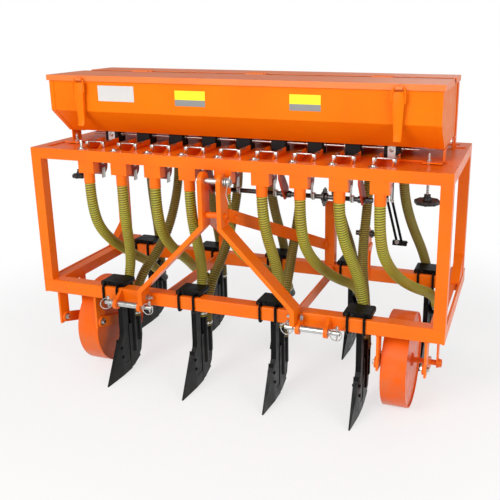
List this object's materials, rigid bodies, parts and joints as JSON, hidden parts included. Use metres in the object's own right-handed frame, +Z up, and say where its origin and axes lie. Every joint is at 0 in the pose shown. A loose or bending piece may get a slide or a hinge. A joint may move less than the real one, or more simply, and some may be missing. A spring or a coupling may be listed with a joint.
{
  "type": "seed drill",
  "caption": "Tractor-mounted seed drill: box frame with a twin-lid hopper, hoses from the feed outlets to two rows of tines, three-point hitch and two gauge wheels.",
  "frame": {"origin": "centre of the bounding box at floor level, where the wheels and shares stand", "axes": "+X across the drill to the right as the picture shows it, +Y to the rear of the drill (away from the hitch), +Z up"},
  "size_m": [1.95, 0.943, 1.472],
  "materials": {
    "frame_paint": "gloss",
    "hopper_paint": "gloss",
    "dark_red_paint": "satin",
    "black_plastic": "matt",
    "black_steel": "satin",
    "zinc_steel": "satin",
    "hose": "satin"
  },
  "bodies": {
    "frame": {"front_bar": "frame_paint", "rear_bar": "frame_paint", "side_rails": "frame_paint", "side_plates": "frame_paint", "top_front_angle": "frame_paint", "top_rear_angle": "frame_paint", "top_side_angles": "frame_paint", "front_posts": "frame_paint", "rear_posts": "frame_paint", "hitch_frame": "frame_paint", "top_link_pin": "zinc_steel", "hitch_ears": "frame_paint", "lower_pins": "zinc_steel", "rear_uprights": "frame_paint", "upper_braces": "frame_paint", "lower_struts": "frame_paint", "feed_rails": "frame_paint", "hopper_shell": "hopper_paint", "hopper_divider": "hopper_paint", "lid_strip": "hopper_paint", "lid_latches": "hopper_paint", "hopper_legs": "frame_paint", "hand_screws": "black_steel", "feed_cups": "black_plastic", "feed_trays": "frame_paint", "outlet_boxes": "frame_paint", "metering_housings": "dark_red_paint", "shaft_hangers": "zinc_steel", "bearing_stand": "frame_paint", "rate_lever": "black_steel", "tine_shanks": "black_steel", "tine_shares": "black_steel", "tine_clamps": "black_steel", "wheel_straps": "frame_paint", "wheel_forks": "frame_paint", "hoses_front": "hose", "hoses_rear": "hose"},
    "wheel_left": {"wheel_left": "frame_paint"},
    "wheel_right": {"wheel_right": "frame_paint"},
    "feed_shaft": {"feed_shaft": "zinc_steel"},
    "drive_shaft": {"drive_shaft": "zinc_steel"},
    "lid_front": {"lid_front": "hopper_paint"},
    "lid_rear": {"lid_rear": "hopper_paint"}
  },
  "joints": [
    {"name": "wheel_left_spin", "type": "hinge", "parent": "frame", "child": "wheel_left", "pos_m": [-0.762, -0.1505, 0.218], "axis": [1, 0, 0], "continuous": true},
    {"name": "wheel_right_spin", "type": "hinge", "parent": "frame", "child": "wheel_right", "pos_m": [0.762, -0.1505, 0.218], "axis": [1, 0, 0], "continuous": true},
    {"name": "feed_shaft_spin", "type": "hinge", "parent": "frame", "child": "feed_shaft", "pos_m": [0.245, -0.2915, 0.985], "axis": [1, 0, 0], "continuous": true},
    {"name": "drive_shaft_spin", "type": "hinge", "parent": "frame", "child": "drive_shaft", "pos_m": [0.49, 0.2635, 0.668], "axis": [1, 0, 0], "continuous": true},
    {"name": "lid_front_hinge", "type": "hinge", "parent": "frame", "child": "lid_front", "pos_m": [0, 0.0085, 1.466], "axis": [-1, 0, 0], "range_deg": [0, 105]},
    {"name": "lid_rear_hinge", "type": "hinge", "parent": "frame", "child": "lid_rear", "pos_m": [0, 0.0485, 1.466], "axis": [-1, 0, 0], "range_deg": [-105, 0]}
  ]
}
